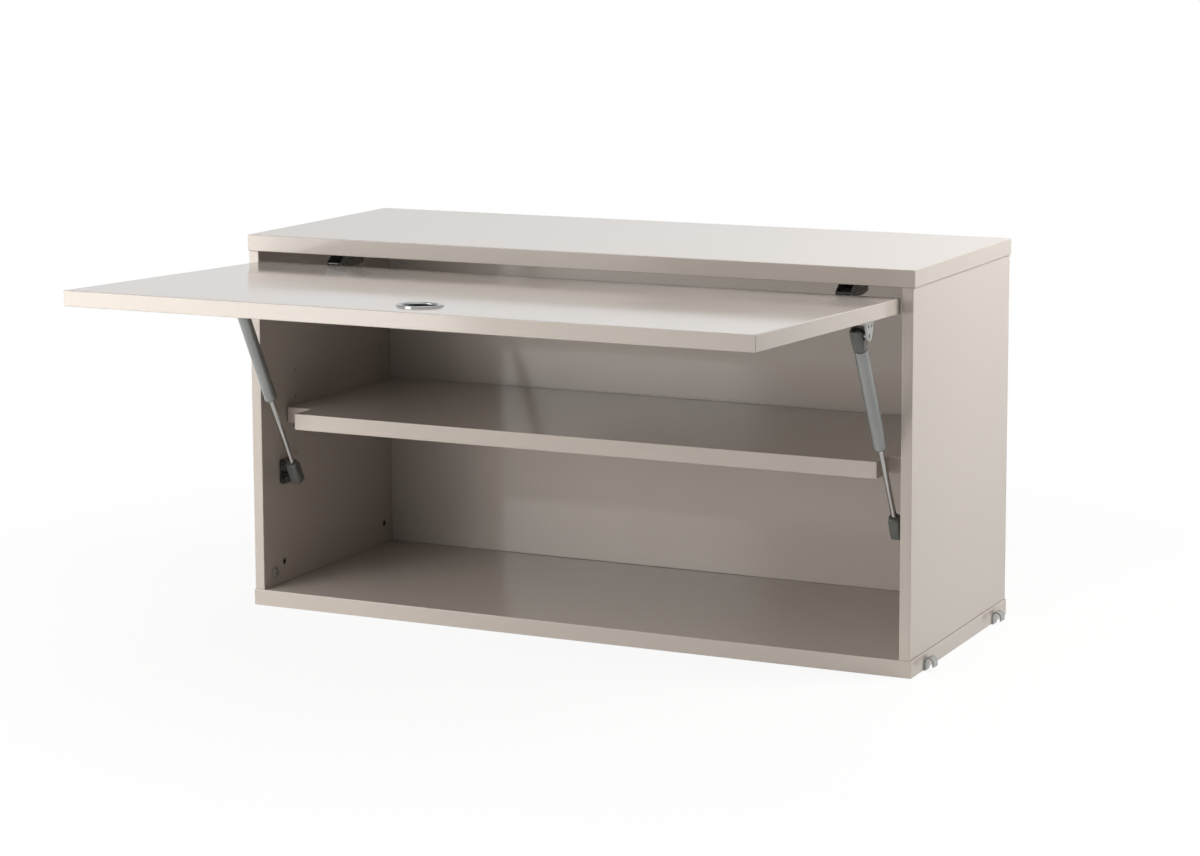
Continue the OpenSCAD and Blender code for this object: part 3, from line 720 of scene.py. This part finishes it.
def make_sockets():
    """The sockets at both ends of each strut."""
    for side, _ in SIDES:
        for place in ("top", "bottom"):
            node = f"{side}_{place}_socket"
            item = moulded(node, node + "_moulding")
            dress(item, body_of(node), DARK_PLASTIC, "dark_plastic", node)


# ---------------------------------------------------------------- sheet steel pieces

HINGE_EDGE = 0.25 * MM
BRACKET_EDGE = 0.3 * MM
HOOK_EDGE = 0.35 * MM


def make_steel_parts():
    """Hinges, brackets and hooks, each a copy of its node with broken edges."""
    black = ("hinge_cup", "hinge_plate", "hinge_arm", "hinge_link", "side_bracket", "side_stud")
    for side, _ in SIDES:
        for part in black:
            node = f"{side}_{part}"
            item = bevelled(node, node + "_steel", HINGE_EDGE)
            dress(item, body_of(node), BLACK_STEEL, "black_steel", node)
        node = side + "_door_bracket"
        dress(bevelled(node, node + "_steel", BRACKET_EDGE), "door", ZINC, "zinc", node)
        for row in ("front", "back"):
            node = f"{row}_{side}_hook"
            dress(bevelled(node, node + "_steel", HOOK_EDGE), "root", ZINC, "zinc", node)


# ---------------------------------------------------------------- repeated pieces

FASTENER_INPUTS = (("Geometry", "NodeSocketGeometry", None),
                   ("Head Radius", "NodeSocketFloat", 0.0033),
                   ("Head Height", "NodeSocketFloat", 0.0018),
                   ("Shank Radius", "NodeSocketFloat", 0.0017),
                   ("Shank Length", "NodeSocketFloat", 0.01),
                   ("Seed", "NodeSocketInt", 1),
                   ("Material", "NodeSocketMaterial", None))


def fastener_tree(name):
    """New geometry tree for one kind of fastener, with its two end nodes and its four sizes."""
    tree = bpy.data.node_groups.new(name, "GeometryNodeTree")
    for label, kind, value in FASTENER_INPUTS:
        socket = tree.interface.new_socket(label, in_out="INPUT", socket_type=kind)
        if value is not None:
            socket.default_value = value
    tree.interface.new_socket("Geometry", in_out="OUTPUT", socket_type="NodeSocketGeometry")
    given, result = add(tree, "NodeGroupInput"), add(tree, "NodeGroupOutput")
    sizes = [given.outputs[label]
             for label in ("Head Radius", "Head Height", "Shank Radius", "Shank Length")]
    return tree, given, result, sizes


def frustum(tree, bottom, top, depth, lift, steps):
    """Cone frustum that stands at a height along its axis, its sizes sockets or numbers."""
    cone = add(tree, "GeometryNodeMeshCone", fill_type="NGON")
    cone.inputs["Vertices"].default_value = steps
    move = add(tree, "GeometryNodeTransform")
    place = add(tree, "ShaderNodeCombineXYZ")
    feed(tree, bottom, cone.inputs["Radius Bottom"])
    feed(tree, top, cone.inputs["Radius Top"])
    feed(tree, depth, cone.inputs["Depth"])
    feed(tree, lift, place.inputs["Z"])
    wire(tree,
         (place.outputs[0], move.inputs["Translation"]),
         (cone.outputs["Mesh"], move.inputs["Geometry"]))
    return move.outputs[0]


def shank_below(tree, radius, length, steps):
    """Plain round shank that hangs below the seat of a head."""
    return frustum(tree, radius, radius, length, calculate(tree, "MULTIPLY", length, -1.0), steps)


def union(tree, layers):
    """One solid of several."""
    joined = add(tree, "GeometryNodeMeshBoolean", operation="UNION", solver="EXACT")
    for layer in layers:
        wire(tree, (layer, joined.inputs["Mesh 2"]))
    return joined.outputs["Mesh"]


def cut(tree, solid, cutters):
    """A solid less its cutters."""
    recess = add(tree, "GeometryNodeMeshBoolean", operation="DIFFERENCE", solver="EXACT")
    wire(tree, (solid, recess.inputs["Mesh 1"]))
    for cutter in cutters:
        wire(tree, (cutter, recess.inputs["Mesh 2"]))
    return recess.outputs["Mesh"]


def set_on_points(tree, given, shape, result):
    """Instances of a shape on the points, turned to each point's axis and by its own turn."""
    axis = add(tree, "GeometryNodeInputNamedAttribute", data_type="FLOAT_VECTOR")
    axis.inputs["Name"].default_value = "axis"
    aligned = add(tree, "FunctionNodeAlignRotationToVector", axis="Z")
    chance = add(tree, "FunctionNodeRandomValue", data_type="FLOAT")
    chance.inputs[3].default_value = math.pi
    spin = add(tree, "FunctionNodeAxisAngleToRotation")
    spin.inputs["Axis"].default_value = (0, 0, 1)
    turn = add(tree, "FunctionNodeRotateRotation", rotation_space="LOCAL")
    instances = add(tree, "GeometryNodeInstanceOnPoints")
    realised = add(tree, "GeometryNodeRealizeInstances")
    painted = add(tree, "GeometryNodeSetMaterial")
    wire(tree,
         (axis.outputs["Attribute"], aligned.inputs["Vector"]),
         (given.outputs["Seed"], chance.inputs["Seed"]),
         (chance.outputs[1], spin.inputs["Angle"]),
         (aligned.outputs["Rotation"], turn.inputs["Rotation"]),
         (spin.outputs["Rotation"], turn.inputs["Rotate By"]),
         (given.outputs["Geometry"], instances.inputs["Points"]),
         (shape, instances.inputs["Instance"]),
         (turn.outputs["Rotation"], instances.inputs["Rotation"]),
         (instances.outputs["Instances"], realised.inputs["Geometry"]),
         (realised.outputs["Geometry"], painted.inputs["Geometry"]),
         (given.outputs["Material"], painted.inputs["Material"]),
         (painted.outputs["Geometry"], result.inputs["Geometry"]))


HEAD_STEPS = 32
SHANK_STEPS = 24
BOLT_STEPS = 40
BUTTON_STEPS = 48
PEG_STEPS = 32
BUTTON_RIM = [(0.0, 0.0), (0.5, 0.134), (0.866, 0.5), (1.0, 1.0)]


def make_screw_tree():
    """Pan head screws with a cross recess, one on each point, head along the point's axis."""
    tree, given, result, (head, height, shank, length) = fastener_tree("pan_screws")
    dome = [(0.0, 0.93), (0.08, 1.0), (0.38, 1.0), (0.62, 0.95), (0.82, 0.82), (0.95, 0.6),
            (1.0, 0.42)]
    layers = []
    for (low, wide), (high, narrow) in zip(dome, dome[1:]):
        layers.append(frustum(tree,
                              calculate(tree, "MULTIPLY", head, wide),
                              calculate(tree, "MULTIPLY", head, narrow),
                              calculate(tree, "MULTIPLY", height, high - low),
                              calculate(tree, "MULTIPLY", height, low), HEAD_STEPS))
    point_l = calculate(tree, "MULTIPLY", shank, 2.0)
    layers.append(shank_below(tree, shank, calculate(tree, "SUBTRACT", length, point_l), SHANK_STEPS))
    layers.append(frustum(tree, calculate(tree, "MULTIPLY", shank, 0.08), shank, point_l,
                          calculate(tree, "MULTIPLY", length, -1.0), SHANK_STEPS))
    arms = []
    arm_w = calculate(tree, "MULTIPLY", head, 0.27)
    recess_z = calculate(tree, "MULTIPLY", height, 0.95)
    for long_way, short_way in (("X", "Y"), ("Y", "X")):
        size, place = add(tree, "ShaderNodeCombineXYZ"), add(tree, "ShaderNodeCombineXYZ")
        block, move = add(tree, "GeometryNodeMeshCube"), add(tree, "GeometryNodeTransform")
        wire(tree,
             (head, size.inputs[long_way]), (arm_w, size.inputs[short_way]),
             (height, size.inputs["Z"]), (size.outputs[0], block.inputs["Size"]),
             (recess_z, place.inputs["Z"]), (place.outputs[0], move.inputs["Translation"]),
             (block.outputs["Mesh"], move.inputs["Geometry"]))
        arms.append(move.outputs[0])
    set_on_points(tree, given, cut(tree, union(tree, layers), arms), result)
    return tree


def make_bolt_tree():
    """Flat round heads with a hexagon socket, on short shanks."""
    tree, given, result, (head, height, shank, length) = fastener_tree("socket_bolts")
    edge = calculate(tree, "MULTIPLY", height, 0.2)
    flat = calculate(tree, "SUBTRACT", height, edge)
    layers = [frustum(tree, head, head, flat, 0.0, BOLT_STEPS),
              frustum(tree, head, calculate(tree, "SUBTRACT", head, edge), edge, flat, BOLT_STEPS),
              shank_below(tree, shank, length, PEG_STEPS)]
    key = calculate(tree, "MULTIPLY", head, 0.5)
    hexagon = frustum(tree, key, key, height, calculate(tree, "MULTIPLY", height, 0.3), 6)
    set_on_points(tree, given, cut(tree, union(tree, layers), [hexagon]), result)
    return tree


def make_button_tree():
    """Round buttons with a softly rounded rim, on pegs: shelf pins and door stops."""
    tree, given, result, (head, height, shank, length) = fastener_tree("pegged_buttons")
    rounding = calculate(tree, "MULTIPLY", head, 0.1)
    wall = calculate(tree, "SUBTRACT", height, rounding)
    layers = [frustum(tree, head, head, wall, 0.0, BUTTON_STEPS)]
    for (low, wide), (high, narrow) in zip(BUTTON_RIM, BUTTON_RIM[1:]):
        inset, more = (calculate(tree, "MULTIPLY", rounding, share) for share in (wide, narrow))
        rise = calculate(tree, "MULTIPLY", rounding, low)
        layers.append(frustum(tree,
                              calculate(tree, "SUBTRACT", head, inset),
                              calculate(tree, "SUBTRACT", head, more),
                              calculate(tree, "MULTIPLY", rounding, high - low),
                              calculate(tree, "ADD", wall, rise), BUTTON_STEPS))
    layers.append(shank_below(tree, shank, length, PEG_STEPS))
    set_on_points(tree, given, union(tree, layers), result)
    return tree


def points_for(name, places):
    """Points that carry the axis of what stands on them."""
    mesh = bpy.data.meshes.new(name)
    mesh.from_pydata([place for place, _ in places], [], [])
    axes = mesh.attributes.new("axis", "FLOAT_VECTOR", "POINT")
    for number, (_, axis) in enumerate(places):
        axes.data[number].vector = axis
    return new_object(name, mesh)


def seats(node, axis_for, head_h):
    """Seat of each head in a node of fasteners, and the way that it faces."""
    places = []
    for corners in solids_of(node):
        middle = sum(corners, Vector()) / len(corners)
        axis = axis_for(middle)
        top = max((corner - middle).dot(axis) for corner in corners)
        off = [(corner - middle) - (corner - middle).dot(axis) * axis for corner in corners]
        low, high = box_of(off)
        places.append((middle + (low + high) / 2 + axis * (top - head_h), axis))
    return places


FASTENER_ANGLE = 50


def repeat(node, tree, axis_for, material, slot, head_r, head_h, shank_r, shank_l, seed):
    """One mesh of all the fasteners of a CAD node, its sizes given in millimetres."""
    places = seats(node, axis_for, head_h * MM)
    item = points_for(node + "_set", places)
    build = item.modifiers.new("build", "NODES")
    build.node_group = tree
    values = {"Head Radius": head_r * MM, "Head Height": head_h * MM,
              "Shank Radius": shank_r * MM, "Shank Length": shank_l * MM,
              "Seed": seed, "Material": material}
    for socket in tree.interface.items_tree:
        if socket.in_out == "INPUT" and socket.name in values:
            build[socket.identifier] = values[socket.name]
    settle(item)
    shade(item, angle=FASTENER_ANGLE)
    return dress(item, body_of(node), material, slot, node)


def inwards(middle):
    """Towards the centre line, for what sits in a side panel."""
    return Vector((-1 if middle.x > 0 else 1, 0, 0))


def downwards(_):
    """Towards the floor, for what is driven in from below."""
    return Vector((0, 0, -1))


def into_cabinet(_):
    """Square to the open door's lower face."""
    return (door_shut().inverted().to_3x3() @ Vector((0, 1, 0))).normalized()


def make_fasteners():
    screws, bolts, buttons = make_screw_tree(), make_bolt_tree(), make_button_tree()
    repeat("cup_screws", screws, into_cabinet, BLACK_STEEL, "black_steel",
           head_r=3.3, head_h=1.8, shank_r=1.75, shank_l=10, seed=3)
    repeat("plate_screws", screws, downwards, BLACK_STEEL, "black_steel",
           head_r=3.4, head_h=1.8, shank_r=1.75, shank_l=10, seed=5)
    repeat("arm_screws", screws, downwards, ZINC, "zinc",
           head_r=3.3, head_h=1.8, shank_r=1.7, shank_l=4, seed=7)
    repeat("door_bracket_screws", screws, into_cabinet, ZINC, "zinc",
           head_r=3.3, head_h=1.8, shank_r=1.75, shank_l=10, seed=11)
    repeat("side_bracket_screws", screws, inwards, BLACK_STEEL, "black_steel",
           head_r=3.3, head_h=1.8, shank_r=1.75, shank_l=11, seed=13)
    repeat("hook_screws", screws, downwards, ZINC, "zinc",
           head_r=3.3, head_h=1.0, shank_r=1.75, shank_l=10, seed=17)
    repeat("joint_bolts", bolts, inwards, BLACK_STEEL, "black_steel",
           head_r=4.0, head_h=3.0, shank_r=3.0, shank_l=4.5, seed=19)
    repeat("shelf_pins", buttons, inwards, ZINC, "zinc",
           head_r=5.5, head_h=7.0, shank_r=2.45, shank_l=7.5, seed=23)
    repeat("door_stops", buttons, inwards, STOP_RUBBER, "stop_rubber",
           head_r=5.0, head_h=4.0, shank_r=2.45, shank_l=7.5, seed=29)


# ---------------------------------------------------------------- nodes kept from the CAD

def paint_kept_nodes():
    """Finishes of the CAD nodes whose shape stays as it is."""
    finishes = {"carcass_dowels": BEECH, "link_pins": ZINC}
    for side, _ in SIDES:
        finishes[side + "_strut_gland"] = BLACK_PLASTIC
        finishes[side + "_strut_piston"] = BLACK_STEEL
        finishes[side + "_door_ball"] = ZINC
    for node, material in finishes.items():
        item = frame["nodes"][node]
        item.data.materials.clear()
        item.data.materials.append(material)


# ---------------------------------------------------------------- stage

WORLD_FILL = 0.03
FLOOR_HALF = 45.0
FLOOR_DOWN = 0.5 * MM
FLOOR_GLOW = 0.9
SHADOW_REACH = (0.45, 1.0)
LAMP_COLOUR = (1.0, 0.985, 0.965)


def through_lens(tree):
    """Mask of the rays that show the white ground: seen, mirrored or let through."""
    path = add(tree, "ShaderNodeLightPath")
    seen = calculate(tree, "MAXIMUM", path.outputs["Is Camera Ray"], path.outputs["Is Glossy Ray"])
    return calculate(tree, "MAXIMUM", seen, path.outputs["Is Transmission Ray"])


def make_world():
    """White ground behind the cabinet, which gives only a little light."""
    world = bpy.data.worlds.new("pale_studio")
    bpy.context.scene.world = world
    world.use_nodes = True
    tree = world.node_tree
    tree.nodes.clear()
    white, fill = add(tree, "ShaderNodeBackground"), add(tree, "ShaderNodeBackground")
    white.inputs["Color"].default_value = (1, 1, 1, 1)
    fill.inputs["Color"].default_value = srgb(250, 247, 243)
    fill.inputs["Strength"].default_value = WORLD_FILL
    mix, out = add(tree, "ShaderNodeMixShader"), add(tree, "ShaderNodeOutputWorld")
    wire(tree,
         (through_lens(tree), mix.inputs[0]),
         (fill.outputs[0], mix.inputs[1]), (white.outputs[0], mix.inputs[2]),
         (mix.outputs[0], out.inputs["Surface"]))


def make_floor():
    """Large pale floor under the cabinet. It glows white to the camera and keeps a soft shadow."""
    shape = bmesh.new()
    bmesh.ops.create_grid(shape, x_segments=1, y_segments=1, size=FLOOR_HALF)
    floor = new_object("floor", mesh_from("floor", shape))
    floor.location.z = -FLOOR_DOWN
    material = bpy.data.materials.new("floor_white")
    material.use_nodes = True
    tree = material.node_tree
    paint = tree.nodes["Principled BSDF"]
    paint.inputs["Base Color"].default_value = srgb(236, 234, 231)
    paint.inputs["Roughness"].default_value = 0.9
    paint.inputs["Specular IOR Level"].default_value = 0.0
    glow, clear = add(tree, "ShaderNodeEmission"), add(tree, "ShaderNodeBsdfTransparent")
    lit, sided = add(tree, "ShaderNodeMixShader"), add(tree, "ShaderNodeMixShader")
    surface, place = add(tree, "ShaderNodeNewGeometry"), add(tree, "ShaderNodeTexCoord")
    away, fade = add(tree, "ShaderNodeVectorMath", operation="LENGTH"), add(tree, "ShaderNodeMapRange")
    for label, value in (("From Min", SHADOW_REACH[0]), ("From Max", SHADOW_REACH[1]),
                         ("To Min", FLOOR_GLOW), ("To Max", 1.0)):
        fade.inputs[label].default_value = value
    wire(tree, (place.outputs["Object"], away.inputs[0]), (away.outputs["Value"], fade.inputs["Value"]))
    share = calculate(tree, "MULTIPLY", through_lens(tree), fade.outputs["Result"])
    wire(tree,
         (share, lit.inputs[0]), (paint.outputs[0], lit.inputs[1]), (glow.outputs[0], lit.inputs[2]),
         (surface.outputs["Backfacing"], sided.inputs[0]),
         (lit.outputs[0], sided.inputs[1]), (clear.outputs[0], sided.inputs[2]),
         (sided.outputs[0], tree.nodes["Material Output"].inputs["Surface"]))
    floor.data.materials.append(material)


def softbox(name, place, target, size, power, mirrored=True):
    """Rectangular lamp aimed at a point. Some are kept out of the mirrorings."""
    lamp = bpy.data.lights.new(name, "AREA")
    lamp.shape = "RECTANGLE"
    lamp.size, lamp.size_y = size
    lamp.energy = power
    lamp.color = LAMP_COLOUR
    item = bpy.data.objects.new(name, lamp)
    bpy.context.scene.collection.objects.link(item)
    item.location = place
    item.rotation_euler = (Vector(target) - Vector(place)).to_track_quat("-Z", "Y").to_euler()
    item.visible_camera = False
    item.visible_glossy = mirrored


def make_lights():
    """Soft light from the front left and above, weaker lamps from the right, above and behind."""
    softbox("front_left_high", (-1.2, -2.0, 1.8), (0.0, 0.0, 0.2), (1.2, 1.0), 20.5)
    softbox("front_left_low", (-1.6, -2.4, 0.5), (0.1, 0.0, 0.2), (1.2, 1.0), 23.5)
    softbox("front_right_high", (0.9, -2.0, 1.7), (0.2, -0.2, 0.35), (1.2, 1.0), 8.0, mirrored=False)
    softbox("near_low", (-0.6, -1.3, 0.12), (-0.1, -0.2, 0.2), (0.6, 0.5), 5.7, mirrored=False)
    softbox("near_side", (-1.2, -0.7, 0.45), (-0.3, -0.3, 0.3), (0.6, 0.6), 4.3, mirrored=False)
    softbox("over_right", (1.0, 0.2, 1.0), (0.35, 0.0, 0.4), (0.6, 0.6), 13.7, mirrored=False)
    softbox("top", (0.2, 0.0, 2.2), (0.0, 0.0, 0.3), (1.6, 1.2), 7.2)
    softbox("rear", (-0.4, 2.4, 1.0), (0.0, 0.15, 0.2), (1.4, 1.0), 14.0, mirrored=False)


CAMERA_PLACE = (1.4257, -3.0357, 0.8045)
CAMERA_TURN = -25.649
CAMERA_DIP = 7.905
CAMERA_ROLL = -0.217
CAMERA_LENS = 92.51
CAMERA_SHIFT = -0.1
CAMERA_REACH = 200.0


def make_camera():
    """Camera at the photograph's viewpoint, fitted to the cabinet's straight edges."""
    turn, dip, roll = (math.radians(angle) for angle in (CAMERA_TURN, CAMERA_DIP, CAMERA_ROLL))
    ahead = Vector((math.sin(turn) * math.cos(dip), math.cos(turn) * math.cos(dip), -math.sin(dip)))
    level = Vector((math.cos(turn), -math.sin(turn), 0))
    above = level.cross(ahead)
    right = level * math.cos(roll) + above * math.sin(roll)
    up = above * math.cos(roll) - level * math.sin(roll)
    camera = bpy.data.cameras.new("photo_camera")
    camera.sensor_width = 36.0
    camera.lens = CAMERA_LENS
    camera.shift_y = CAMERA_SHIFT
    camera.clip_end = CAMERA_REACH
    item = bpy.data.objects.new("photo_camera", camera)
    bpy.context.scene.collection.objects.link(item)
    axes = Matrix((right, up, -ahead)).transposed().to_4x4()
    item.matrix_world = Matrix.Translation(CAMERA_PLACE) @ axes
    bpy.context.scene.camera = item


make_boards()
for strut_side, _ in SIDES:
    make_strut_tube(strut_side)
    make_strut_rod(strut_side)
make_grip_ring()
make_sockets()
make_steel_parts()
make_fasteners()
paint_kept_nodes()
make_world()
make_floor()
make_lights()
make_camera()
bpy.context.scene.view_settings.view_transform = "Standard"
